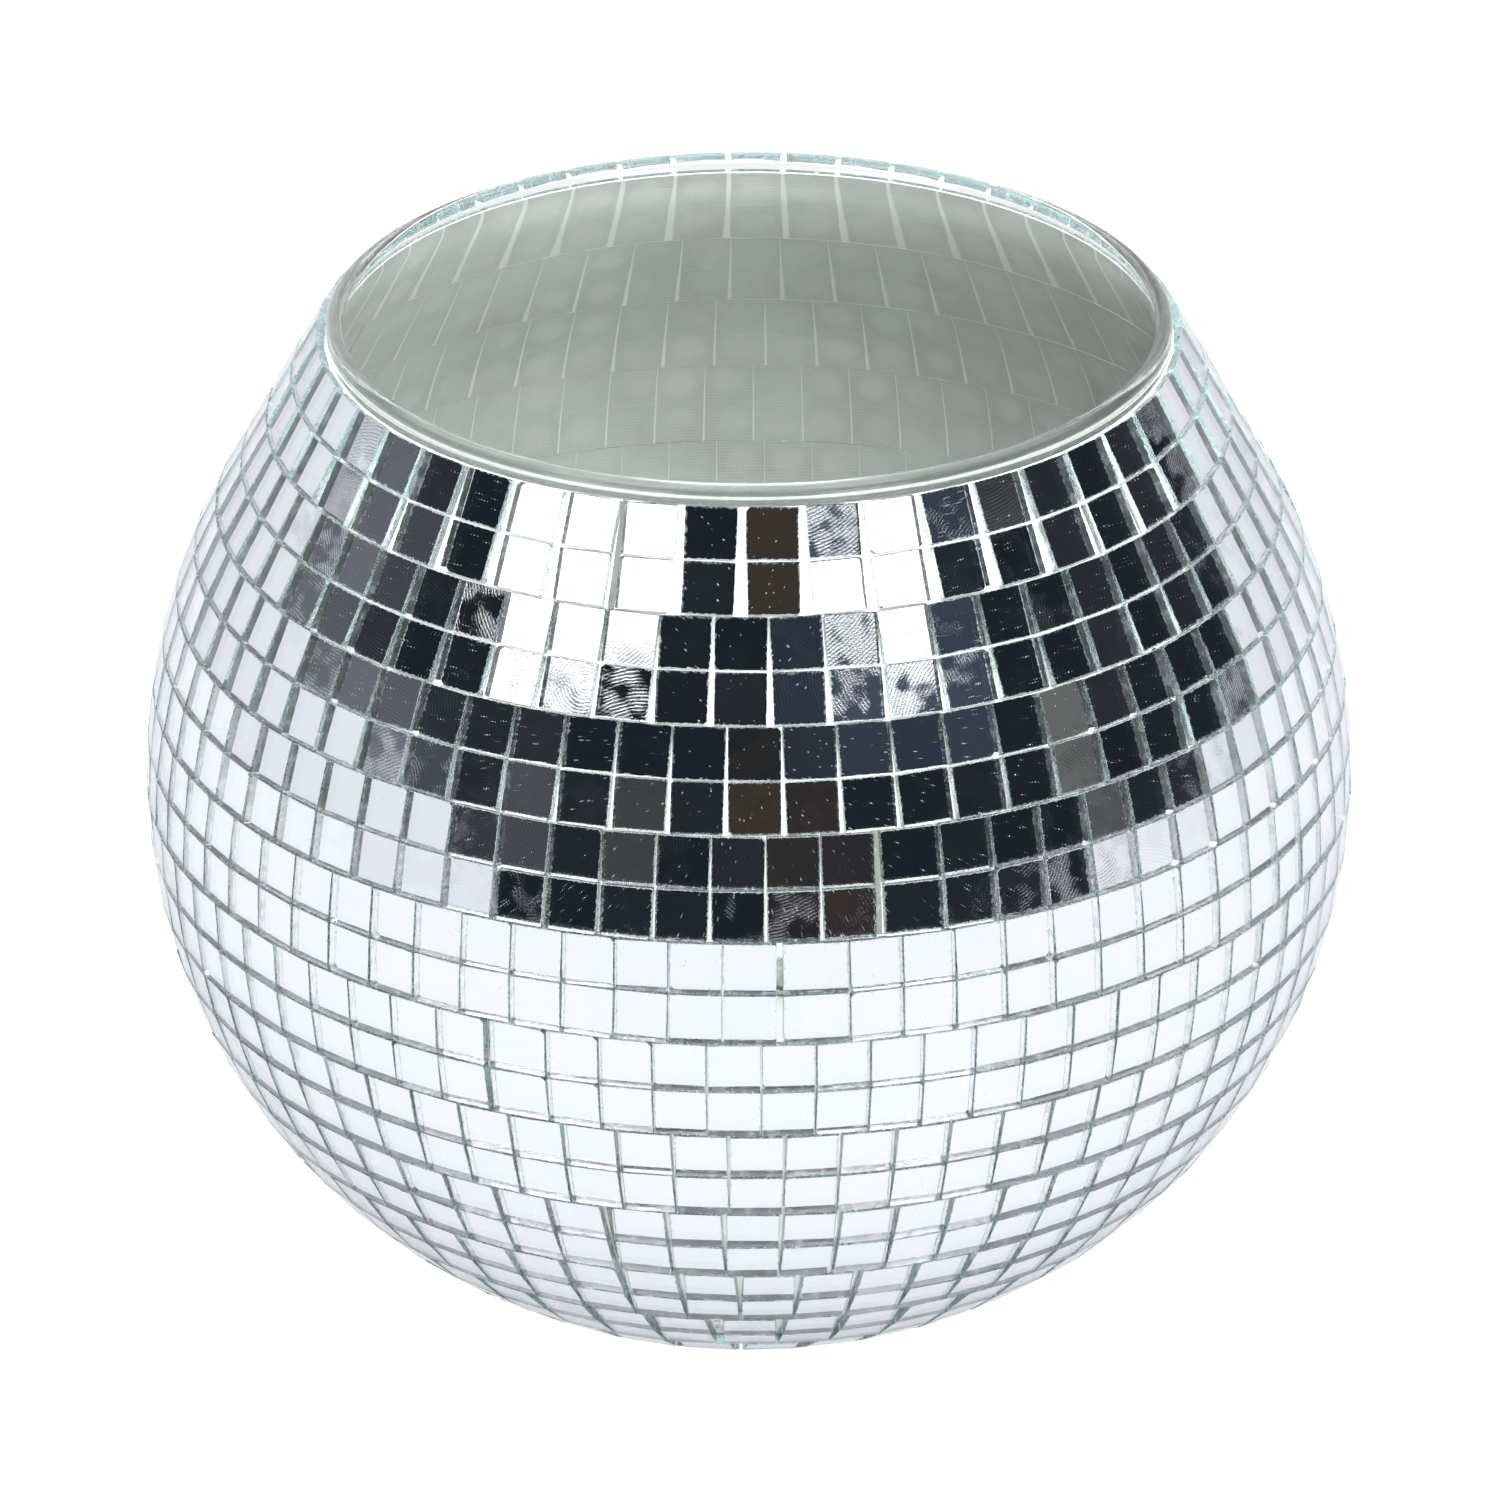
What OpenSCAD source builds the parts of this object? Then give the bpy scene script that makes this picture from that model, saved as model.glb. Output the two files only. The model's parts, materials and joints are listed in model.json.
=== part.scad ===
// Mirror-tiled glass bowl: a clear globe bowl with a wide mouth and a rounded lip, covered outside
// in two-row strips of square mirror tiles on a fibre mesh.
// Millimetres, +Z up, origin at the centre of the flat base, front of the bowl towards -Y.

/* [Bowl profile] */
// Radius over the tiles at the widest line
belly_r = 119; // [116:0.5:122]
// Height of the widest line above the table
belly_z = 102.5; // [101:0.5:104]
// Radius of the profile arc above the widest line
upper_arc_r = 125; // [122:1:130]
// Radius of the profile arc below the widest line
lower_arc_r = 111.5; // [110:0.5:114]
// Lean of the straight shoulder from the vertical, in degrees
shoulder_lean = 29.3; // [28:0.1:30.5]

/* [Glass] */
// Thickness of the wall
wall = 3; // [2.5:0.1:4]
// Thickness of the flat base
base_thick = 6; // [5:0.5:9]
// Radius of the shallow hollow under the base
punt_r = 30; // [20:1:36]
// Depth of the hollow under the base
punt_depth = 1; // [0.5:0.1:2]
// Diameter of the rounded lip
lip_d = 3.5; // [3.2:0.1:4]
// Height of the middle of the lip above the widest line
lip_rise = 96.4; // [96:0.1:98]
// Radius of the middle of the lip
lip_r = 80.4; // [80:0.1:81]

/* [Mirror tiles] */
// Side of a square tile
tile = 9.85; // [9.6:0.05:9.9]
// Thickness of a tile's glass
tile_thick = 1.8; // [1.4:0.1:1.9]
// Height of one row with its joint
row_pitch = 10.29; // [10.27:0.01:10.4]
// Narrowest joint between the columns of a strip
joint = 0.34; // [0.3:0.02:0.5]
// Narrowest joint in the first strip, which is laid more openly round the mouth
mouth_joint = 1.37; // [0.8:0.01:1.6]
// Gap where the two ends of a strip meet
seam_gap = 1.3; // [0.8:0.1:2]

/* [Mesh] */
// Thickness of the fibre mesh with its glue
mesh_thick = 0.6; // [0.4:0.1:0.8]
// Gap between the meshes of neighbouring strips
mesh_gap = 0.3; // [0.2:0.1:0.6]

/* [Hidden] */
$fn = 96;
// Clearance that keeps glued faces apart
glue_line = 0.02;
// The tiles come in strips that are two rows high; ten of the rows lie above the widest line
ROWS_IN_STRIP = 2;
STRIPS = 11;
ROWS = STRIPS * ROWS_IN_STRIP;
ROWS_ABOVE = 10;
// Where the ends of each strip meet, in degrees from the front towards +X
SEAM_AT = [-16.3, -121.5, 48.5, 12.2, 2.8, -24.6, 108.3, -14.2, -88.2, -4.3, 60];
// A closing tile narrower than this share of a tile is joined to its neighbour as one wider tile
least_closing = 0.45;

// Depth of the glass's outer face under the tiles' outer face, and of its inner face
mesh_top = tile_thick + glue_line;
glass_top = mesh_top + mesh_thick + glue_line;
glass_inside = glass_top + wall;
// Spacing of the points along the bowl's outline
profile_step = row_pitch / 4;
// Extra cut so that two faces never lie in one plane
overcut = 0.5;

function two_digits(i) = str(i < 10 ? "0" : "", i);
function row_name(k) = str("tile_row_", two_digits(k));
function mesh_name(i) = str("strip_mesh_", two_digits(i));

// The profile is measured by s, the length along the tiles' outer face, zero at the widest line
// and positive upwards. Lean is the angle of its outward normal above the horizontal.
function degrees(radians) = radians * 180 / PI;
shoulder_s = upper_arc_r * shoulder_lean * PI / 180;
function lean(s) = s >= 0 ? min(degrees(s / upper_arc_r), shoulder_lean) : degrees(s / lower_arc_r);
function arc_at(s) = s >= 0 ? upper_arc_r : lower_arc_r;
function straight(s) = max(0, s - shoulder_s);
function face_r(s) = belly_r - arc_at(s) * (1 - cos(lean(s))) - straight(s) * sin(lean(s));
function face_z(s) = belly_z + arc_at(s) * sin(lean(s)) + straight(s) * cos(lean(s));
// The same point moved inwards by a depth
function skin_r(s, depth) = face_r(s) - depth * cos(lean(s));
function skin_z(s, depth) = face_z(s) - depth * sin(lean(s));
function skin(s, depth) = [skin_r(s, depth), skin_z(s, depth)];
// Where the skin at a depth comes down to a height
function s_at_height(z, depth) = -asin((belly_z - z) / (lower_arc_r - depth)) * PI / 180 * lower_arc_r;

// Rows are counted from the mouth, and line k is the joint under row k
function line_s(k) = (ROWS_ABOVE - k) * row_pitch;
function strip_of(k) = ceil(k / ROWS_IN_STRIP);
function narrow_r(i) = min(face_r(line_s(ROWS_IN_STRIP * (i - 1))), face_r(line_s(ROWS_IN_STRIP * i)));
function round_length(i) = 2 * PI * narrow_r(i) - seam_gap;
function joint_of(i) = i == 1 ? mouth_joint : joint;
function column_pitch(i) = tile + joint_of(i);
function whole_columns(i) = floor((round_length(i) + joint_of(i)) / column_pitch(i));
function rest(i) = round_length(i) + joint_of(i) - whole_columns(i) * column_pitch(i);
function rest_is_small(i) = rest(i) - joint_of(i) < least_closing * tile;
function columns(i) = whole_columns(i) - (rest_is_small(i) ? 1 : 0);
function closing_width(i) = rest_is_small(i) ? tile + rest(i) : rest(i) - joint_of(i);
// Turn from the front for a length along a strip's narrow edge, counted leftwards from its seam
function turn(i, length) = SEAM_AT[i - 1] - degrees((seam_gap / 2 + length) / narrow_r(i)) - 90;

module glass_bowl() {
    top_s = line_s(0);
    outer_foot_s = s_at_height(0, glass_top);
    inner_foot_s = s_at_height(base_thick, glass_inside);
    outer = [for (s = [top_s:-profile_step:outer_foot_s]) skin(s, glass_top)];
    inner = [for (s = [top_s:-profile_step:inner_foot_s]) skin(s, glass_inside)];
    lip_z = belly_z + lip_rise;
    color([0.86, 0.93, 0.92, 0.45])
    rotate_extrude() {
        difference() {
            polygon(concat(
                [[0, 0], skin(outer_foot_s, glass_top)],
                [for (p = [len(outer) - 1:-1:0]) outer[p]],
                inner,
                [skin(inner_foot_s, glass_inside), [0, base_thick]]
            ));
            translate([-overcut, -overcut]) square([punt_r + overcut, punt_depth + overcut]);
        }
        polygon([outer[0], [lip_r + lip_d / 2, lip_z], [lip_r - lip_d / 2, lip_z], inner[0]]);
        translate([lip_r, lip_z]) circle(d = lip_d);
    }
}

module strip_mesh(i) {
    top_s = line_s(ROWS_IN_STRIP * (i - 1)) - mesh_gap / 2;
    bottom_s = line_s(ROWS_IN_STRIP * i) + mesh_gap / 2;
    steps = 8;
    at = [for (n = [0:steps]) top_s + (bottom_s - top_s) * n / steps];
    back = [for (n = [0:steps]) skin(at[n], mesh_top + mesh_thick)];
    front = [for (n = [steps:-1:0]) skin(at[n], mesh_top)];
    open_angle = degrees(seam_gap / narrow_r(i));
    color([0.66, 0.69, 0.65])
    rotate([0, 0, SEAM_AT[i - 1] + open_angle / 2 - 90])
    rotate_extrude(angle = 360 - open_angle)
    polygon(concat(back, front));
}

// One tile of the given width, lying on the profile at s and turned about the bowl's axis
module mirror_tile(s, turn_angle, width) {
    rotate([0, 0, turn_angle])
    translate([skin_r(s, tile_thick / 2), 0, skin_z(s, tile_thick / 2)])
    rotate([0, -lean(s), 0])
    cube([tile_thick, width, tile], center = true);
}

module tile_row(k) {
    i = strip_of(k);
    middle_s = line_s(k - 0.5);
    color([0.80, 0.83, 0.86]) {
        for (c = [0:columns(i) - 1]) {
            mirror_tile(middle_s, turn(i, c * column_pitch(i) + tile / 2), tile);
        }
        closing_at = columns(i) * column_pitch(i) + closing_width(i) / 2;
        mirror_tile(middle_s, turn(i, closing_at), closing_width(i));
    }
}

glass_bowl();
for (i = [1:STRIPS]) strip_mesh(i);
for (k = [1:ROWS]) tile_row(k);
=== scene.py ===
"""Dresses the mirror-tiled glass bowl: blown glass, glued mesh strips and rows of silvered tiles."""

import json
import logging
import math
from dataclasses import dataclass, field
from enum import Enum

import bpy
import numpy as np
from bpy.types import Collection, Material, Mesh, Node, NodeSocket, NodeTree, Object
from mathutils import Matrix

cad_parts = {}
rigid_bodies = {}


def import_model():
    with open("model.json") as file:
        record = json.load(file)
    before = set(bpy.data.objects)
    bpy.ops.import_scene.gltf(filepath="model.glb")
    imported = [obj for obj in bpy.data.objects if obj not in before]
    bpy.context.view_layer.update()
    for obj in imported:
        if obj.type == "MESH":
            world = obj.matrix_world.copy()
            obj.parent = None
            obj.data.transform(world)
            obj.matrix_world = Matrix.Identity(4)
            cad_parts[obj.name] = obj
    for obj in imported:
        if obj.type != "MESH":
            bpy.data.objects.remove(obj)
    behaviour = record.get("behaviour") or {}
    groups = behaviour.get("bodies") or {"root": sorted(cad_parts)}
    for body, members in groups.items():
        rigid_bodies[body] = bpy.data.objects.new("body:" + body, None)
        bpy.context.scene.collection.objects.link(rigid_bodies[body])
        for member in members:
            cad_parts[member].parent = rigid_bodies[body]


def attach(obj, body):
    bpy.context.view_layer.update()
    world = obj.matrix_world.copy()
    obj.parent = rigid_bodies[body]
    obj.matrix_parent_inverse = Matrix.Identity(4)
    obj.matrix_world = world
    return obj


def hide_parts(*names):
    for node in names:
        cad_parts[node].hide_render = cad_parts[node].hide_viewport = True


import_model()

LOG = logging.getLogger("mirror_bowl")
ROOT = "root"
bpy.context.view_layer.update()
MM = 0.001
WELD = 0.002 * MM

Feed = object
Colour = tuple[float, float, float]

PALE_WALL: Colour = (0.62, 0.64, 0.67)
FRONT_LAMP: Colour = (3.0, 3.0, 3.0)
REAR_LAMP: Colour = (2.6, 2.6, 2.6)
SIDE_LAMP: Colour = (2.2, 2.2, 2.2)


class Slot(Enum):
    """The record's material slots."""

    GLASS = "clear_glass"
    TILE = "mirror_tile"
    MESH = "mesh_backing"


class TileFace(Enum):
    """The kinds of face that one tile has."""

    FRONT = 0
    CUT = 1
    BACK = 2


# ---------------------------------------------------------------- node trees


class NodeBench:
    """Adds nodes to one node tree and joins them up."""

    def __init__(self, tree: NodeTree) -> None:
        """Takes the tree to work on.

        Args:
            tree: A shader or geometry node tree.
        """
        self.tree = tree

    def feed(self, socket: NodeSocket, value: Feed) -> None:
        """Links a socket, or sets its own value.

        Args:
            socket: The input to feed.
            value: Another node's output, or a plain value; a colour is given as three numbers.
        """
        if isinstance(value, NodeSocket):
            self.tree.links.new(value, socket)
        elif socket.type == "RGBA":
            socket.default_value = (*value, 1.0)
        else:
            socket.default_value = value

    def add(self, kind: str, feeds: dict | None = None, **settings: object) -> Node:
        """Adds one node.

        Args:
            kind: The node's type name.
            feeds: What goes into its inputs, by name or number.
            **settings: The node's own properties, set before its inputs.

        Returns:
            The new node.
        """
        node = self.tree.nodes.new(kind)
        for name, value in settings.items():
            setattr(node, name, value)
        for name, value in (feeds or {}).items():
            self.feed(node.inputs[name], value)
        return node

    def math(self, operation: str, *terms: Feed, clamp: bool = False) -> NodeSocket:
        """Adds a Math node and returns its result."""
        node = self.add("ShaderNodeMath", dict(enumerate(terms)), operation=operation, use_clamp=clamp)
        return node.outputs[0]

    def plus(self, first: Feed, second: Feed) -> NodeSocket:
        """Adds two numbers."""
        return self.math("ADD", first, second)

    def minus(self, first: Feed, second: Feed) -> NodeSocket:
        """Takes the second number from the first."""
        return self.math("SUBTRACT", first, second)

    def times(self, first: Feed, second: Feed) -> NodeSocket:
        """Multiplies two numbers."""
        return self.math("MULTIPLY", first, second)

    def off_line(self, value: Feed) -> NodeSocket:
        """Returns how far a number is from the nearest whole number."""
        return self.math("ABSOLUTE", self.minus(self.math("FRACT", self.plus(value, 0.5)), 0.5))

    def around(self, radius: Feed, turn: Feed, height: Feed) -> NodeSocket:
        """Returns the point at a radius, turn and height about the upright axis."""
        x = self.times(radius, self.math("COSINE", turn))
        y = self.times(radius, self.math("SINE", turn))
        return self.xyz(x, y, height)

    def vector(self, operation: str, *terms: Feed) -> NodeSocket:
        """Adds a Vector Math node and returns its result, or the number that it measures."""
        node = self.add("ShaderNodeVectorMath", operation=operation)
        for number, term in enumerate(terms):
            self.feed(node.inputs[3 if operation == "SCALE" and number else number], term)
        return node.outputs[1 if operation in ("LENGTH", "DISTANCE", "DOT_PRODUCT") else 0]

    def xyz(self, x: Feed = 0.0, y: Feed = 0.0, z: Feed = 0.0) -> NodeSocket:
        """Joins three numbers into a vector."""
        return self.add("ShaderNodeCombineXYZ", {0: x, 1: y, 2: z}).outputs[0]

    def split(self, vector: Feed) -> tuple[NodeSocket, ...]:
        """Returns a vector's three numbers."""
        return tuple(self.add("ShaderNodeSeparateXYZ", {0: vector}).outputs)

    def ramp(self, value: Feed, low: Feed, high: Feed, start: Feed = 0.0, end: Feed = 1.0) -> NodeSocket:
        """Goes smoothly from start to end while value goes from low to high."""
        feeds = {0: value, 1: low, 2: high, 3: start, 4: end}
        return self.add("ShaderNodeMapRange", feeds, interpolation_type="SMOOTHSTEP").outputs[0]

    def blend(self, factor: Feed, first: Feed, second: Feed) -> NodeSocket:
        """Mixes two colours."""
        return self.add("ShaderNodeMix", {0: factor, 6: first, 7: second}, data_type="RGBA").outputs[2]

    def lerp(self, factor: Feed, first: Feed, second: Feed) -> NodeSocket:
        """Mixes two numbers."""
        return self.add("ShaderNodeMix", {0: factor, 2: first, 3: second}, data_type="FLOAT").outputs[0]

    def noise(self, vector: Feed, scale: float, detail: float = 2.0, rough: float = 0.5) -> NodeSocket:
        """Adds a Noise Texture and returns its grey value."""
        feeds = {"Vector": vector, "Scale": scale, "Detail": detail, "Roughness": rough}
        return self.add("ShaderNodeTexNoise", feeds).outputs[0]

    def grouped(self, group: NodeTree, feeds: dict) -> Node:
        """Adds a node that runs a group."""
        kind = "ShaderNodeGroup" if group.type == "SHADER" else "GeometryNodeGroup"
        node = self.add(kind, node_tree=group)
        for name, value in feeds.items():
            self.feed(node.inputs[name], value)
        return node


class GroupBench(NodeBench):
    """A node group with named inputs and outputs."""

    def __init__(self, name: str, kind: str, inputs: dict[str, str], outputs: dict[str, str]) -> None:
        """Makes the group.

        Args:
            name: The group's name.
            kind: "ShaderNodeTree" or "GeometryNodeTree".
            inputs: Each input's name and its socket type's last word.
            outputs: The same for the outputs.
        """
        super().__init__(bpy.data.node_groups.new(name, kind))
        for in_out, sockets in (("INPUT", inputs), ("OUTPUT", outputs)):
            for socket, word in sockets.items():
                self.tree.interface.new_socket(socket, in_out=in_out, socket_type=f"NodeSocket{word}")
        self.given = self.tree.nodes.new("NodeGroupInput").outputs
        self.made = self.tree.nodes.new("NodeGroupOutput").inputs

    def weld(self, geometry: NodeSocket) -> NodeSocket:
        """Joins a mesh's points that lie on each other."""
        feeds = {"Geometry": geometry, "Distance": WELD}
        return self.add("GeometryNodeMergeByDistance", feeds).outputs[0]

    def hand_out(self, geometry: NodeSocket, finish: NodeSocket) -> None:
        """Realises a mesh, gives it its finish and makes it the group's result."""
        real = self.add("GeometryNodeRealizeInstances", {"Geometry": geometry}).outputs[0]
        dressed = self.add("GeometryNodeSetMaterial", {"Geometry": real, "Material": finish})
        self.feed(self.made["Geometry"], dressed.outputs[0])


def run_tree(name: str, tree: NodeTree, values: dict[str, object]) -> Object:
    """Runs a geometry tree and keeps what it makes as a plain mesh.

    Args:
        name: The new object's name.
        tree: The geometry tree.
        values: What its inputs are set to, by name.

    Returns:
        The object, with no modifier left on it.
    """
    piece = bpy.data.objects.new(name, bpy.data.meshes.new(name))
    bpy.context.scene.collection.objects.link(piece)
    modifier = piece.modifiers.new("build", "NODES")
    modifier.node_group = tree
    for item in tree.interface.items_tree:
        if item.item_type == "SOCKET" and item.in_out == "INPUT" and item.name in values:
            modifier[item.identifier] = values[item.name]
    graph = bpy.context.evaluated_depsgraph_get()
    made = bpy.data.meshes.new_from_object(
        piece.evaluated_get(graph), preserve_all_data_layers=True, depsgraph=graph
    )
    empty = piece.data
    piece.modifiers.clear()
    piece.data = made
    bpy.data.meshes.remove(empty)
    made.name = name
    return piece


# ---------------------------------------------------------------- sizes


@dataclass(frozen=True)
class BowlProfile:
    """The outline of the bowl, measured by s along the tiles' outer face from the widest line upwards."""

    belly_r: float = 119 * MM
    belly_z: float = 102.5 * MM
    upper_arc_r: float = 125 * MM
    lower_arc_r: float = 111.5 * MM
    shoulder_lean: float = math.radians(29.3)
    wall: float = 3 * MM
    base_thick: float = 6 * MM
    punt_r: float = 30 * MM
    punt_depth: float = 1 * MM
    lip_d: float = 3.5 * MM
    lip_rise: float = 96.39 * MM
    lip_r: float = 80.4 * MM
    lip_merge: float = 0.35
    lip_points: int = 22

    def lean(self, s: float) -> float:
        """Returns the angle of the outward normal above the horizontal."""
        return min(s / self.upper_arc_r, self.shoulder_lean) if s >= 0 else s / self.lower_arc_r

    def skin(self, s: float, depth: float = 0.0) -> tuple[float, float]:
        """Returns the radius and height of the skin at a depth under the tiles' face."""
        lean, arc = self.lean(s), self.upper_arc_r if s >= 0 else self.lower_arc_r
        straight = max(0.0, s - self.upper_arc_r * self.shoulder_lean)
        face_r = self.belly_r - arc * (1 - math.cos(lean)) - straight * math.sin(lean)
        face_z = self.belly_z + arc * math.sin(lean) + straight * math.cos(lean)
        return face_r - depth * math.cos(lean), face_z - depth * math.sin(lean)

    def s_at_height(self, z: float, depth: float) -> float:
        """Returns where the skin at a depth comes down to a height."""
        return -math.asin((self.belly_z - z) / (self.lower_arc_r - depth)) * self.lower_arc_r


@dataclass(frozen=True)
class StripLayout:
    """How the mesh-backed strips of tiles lie round the bowl."""

    tile: float = 9.85 * MM
    tile_thick: float = 1.8 * MM
    row_pitch: float = 10.29 * MM
    joint: float = 0.34 * MM
    mouth_joint: float = 1.37 * MM
    seam_gap: float = 1.3 * MM
    mesh_thick: float = 0.6 * MM
    mesh_gap: float = 0.16 * MM
    glue_line: float = 0.02 * MM
    tile_sink: float = 0.18 * MM
    mesh_sink: float = 0.32 * MM
    tile_spare: float = 0.06 * MM
    rows_in_strip: int = 2
    strips: int = 11
    rows_above: int = 10
    mesh_turns: int = 181
    mesh_steps: int = 9
    tilt: float = math.radians(0.75)
    least_closing: float = 0.45
    seams: tuple[float, ...] = (-16.3, -121.5, 48.5, 12.2, 2.8, -24.6, 108.3, -14.2, -88.2, -4.3, 60.0)
    profile: BowlProfile = field(default_factory=BowlProfile)

    @property
    def mesh_top(self) -> float:
        """Depth of the strip mesh's outer face."""
        return self.tile_thick + self.glue_line

    @property
    def glass_top(self) -> float:
        """Depth of the bowl's outer face."""
        return self.mesh_top + self.mesh_thick + self.glue_line

    @property
    def rows(self) -> int:
        """How many rows of tiles there are."""
        return self.strips * self.rows_in_strip

    def line_s(self, k: float) -> float:
        """Returns where the joint under row k lies."""
        return (self.rows_above - k) * self.row_pitch

    def strip_of(self, k: int) -> int:
        """Returns the strip that row k is in."""
        return math.ceil(k / self.rows_in_strip)

    def edges(self, i: int) -> tuple[float, float]:
        """Returns where the upper and lower edges of strip i lie."""
        return self.line_s(self.rows_in_strip * (i - 1)), self.line_s(self.rows_in_strip * i)

    def narrow_r(self, i: int) -> float:
        """Returns the radius at the narrower edge of strip i."""
        return min(self.profile.skin(s)[0] for s in self.edges(i))

    def column_pitch(self, i: int) -> float:
        """Returns the distance from one tile to the next in strip i."""
        return self.tile + (self.mouth_joint if i == 1 else self.joint)

    def columns(self, i: int) -> tuple[int, float]:
        """Returns how many whole tiles strip i has in a row, and its closing tile's width."""
        joint = self.column_pitch(i) - self.tile
        length = math.tau * self.narrow_r(i) - self.seam_gap + joint
        whole = math.floor(length / self.column_pitch(i))
        rest = length - whole * self.column_pitch(i)
        if rest - joint < self.least_closing * self.tile:
            return whole - 1, self.tile + rest
        return whole, rest - joint

    def seam(self, i: int) -> float:
        """Returns the turn of strip i's seam about the bowl's axis, in radians."""
        return math.radians(self.seams[i - 1] - 90)


# ---------------------------------------------------------------- finishes


class Finishes:
    """The shader groups that several finishes share."""

    def __init__(self) -> None:
        """Builds each group once."""
        self.scuffs = self._scuffs()
        self.flakes = self._flakes()
        self.weave = self._weave()

    @staticmethod
    def _scuffs() -> NodeTree:
        """Fine polishing arcs, wiped patches and specks on a tile's face."""
        bench = GroupBench(
            "polishing scuffs",
            "ShaderNodeTree",
            {"Face": "Vector", "Tone": "Vector"},
            {"Ripple": "Float", "Scuff": "Float", "Specks": "Float"},
        )
        face, tone = bench.given["Face"], bench.given["Tone"]
        own = bench.vector("ADD", face, bench.vector("SCALE", tone, 40.0))
        centre = bench.vector("SCALE", bench.vector("SUBTRACT", tone, (0.5, 0.5, 0.5)), 7.0)
        wobble = bench.times(bench.noise(own, 5.0, 3.0), 7.0)
        flat, middle = (bench.xyz(*bench.split(place)[:2]) for place in (face, centre))
        distance = bench.vector("DISTANCE", flat, middle)
        phase = bench.math("MULTIPLY_ADD", distance, 95.0, wobble)
        arcs = bench.math("MULTIPLY_ADD", bench.math("SINE", phase), 0.5, 0.5)
        grain = bench.noise(own, 42.0, 2.0, 0.6)
        ripple = bench.minus(bench.math("MULTIPLY_ADD", arcs, 0.28, grain), 0.64)
        patch = bench.ramp(bench.noise(own, 2.2, 1.0), 0.34, 0.68)
        share = bench.ramp(bench.split(tone)[2], 0.25, 1.0, 0.15, 1.0)
        dots = bench.add("ShaderNodeTexVoronoi", {"Vector": own, "Scale": 13.0}).outputs[0]
        few = bench.ramp(bench.noise(own, 9.0, 1.0), 0.58, 0.62)
        bench.feed(bench.made["Ripple"], bench.times(ripple, bench.plus(patch, 0.15)))
        bench.feed(bench.made["Scuff"], bench.times(patch, share))
        bench.feed(bench.made["Specks"], bench.times(bench.ramp(dots, 0.16, 0.08), few))
        return bench.tree

    @staticmethod
    def _flakes() -> NodeTree:
        """Small flakes that the cutter left along a tile's edges."""
        bench = GroupBench(
            "edge flakes",
            "ShaderNodeTree",
            {"Face": "Vector", "Tone": "Vector"},
            {"Flakes": "Float"},
        )
        face, tone = bench.given["Face"], bench.given["Tone"]
        middle = bench.vector("ABSOLUTE", bench.vector("SUBTRACT", face, (0.5, 0.5, 0.0)))
        across, up, _ = bench.split(middle)
        edge = bench.minus(0.5, bench.math("MAXIMUM", across, up))
        own = bench.vector("ADD", face, bench.vector("SCALE", tone, 40.0))
        width = bench.ramp(bench.noise(own, 11.0, 3.0, 0.7), 0.42, 0.78, 0.0, 0.05)
        bench.feed(bench.made["Flakes"], bench.math("LESS_THAN", edge, width))
        return bench.tree

    @staticmethod
    def _weave() -> NodeTree:
        """Threads, glue dabs, and pale joint and row lines of the tiles that lie over a strip mesh; the
        pale lines are partly the glue's own colour and partly painted light leaking through the gaps
        between tiles.
        """
        bench = GroupBench(
            "glued weave",
            "ShaderNodeTree",
            {"Strip": "Vector", "Place": "Vector", "Gap": "Float"},
            {"Threads": "Float", "Dabs": "Float", "Joints And Painted Leak": "Float", "Rows": "Float"},
        )
        strip, place = bench.given["Strip"], bench.given["Place"]
        column, row, _ = bench.split(strip)
        wander = bench.noise(place, 130.0, 2.0)
        threads = bench.math("SINE", bench.math("MULTIPLY_ADD", row, 84.0, bench.times(wander, 9.0)))
        spread = bench.math("MULTIPLY_ADD", bench.noise(place, 260.0, 2.0), 0.24, -0.12)
        in_column = bench.minus(bench.math("FRACT", bench.plus(column, spread)), 0.5)
        in_row = bench.minus(bench.math("FRACT", row), 0.5)
        off = bench.vector("LENGTH", bench.xyz(in_column, in_row, 0.0))
        dabs = bench.times(bench.ramp(off, 0.46, 0.18), bench.ramp(bench.noise(place, 42.0), 0.35, 0.62))
        uneven = bench.times(bench.given["Gap"], bench.ramp(bench.noise(place, 75.0), 0.3, 0.7, 0.75, 1.25))
        # Pale column-joint lines: partly the glue's own pale colour, partly painted light leaking through
        # the gaps between tiles.
        joint_and_painted_leak = bench.ramp(bench.off_line(column), uneven, bench.times(uneven, 0.5))
        bench.feed(bench.made["Threads"], bench.math("MULTIPLY_ADD", threads, 0.5, 0.5))
        bench.feed(bench.made["Dabs"], dabs)
        bench.feed(bench.made["Joints And Painted Leak"], joint_and_painted_leak)
        # Pale row-joint lines: partly the glue's own pale colour, partly painted light leaking through the
        # row joints.
        bench.feed(bench.made["Rows"], bench.ramp(bench.off_line(row), 0.045, 0.015))
        return bench.tree


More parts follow.
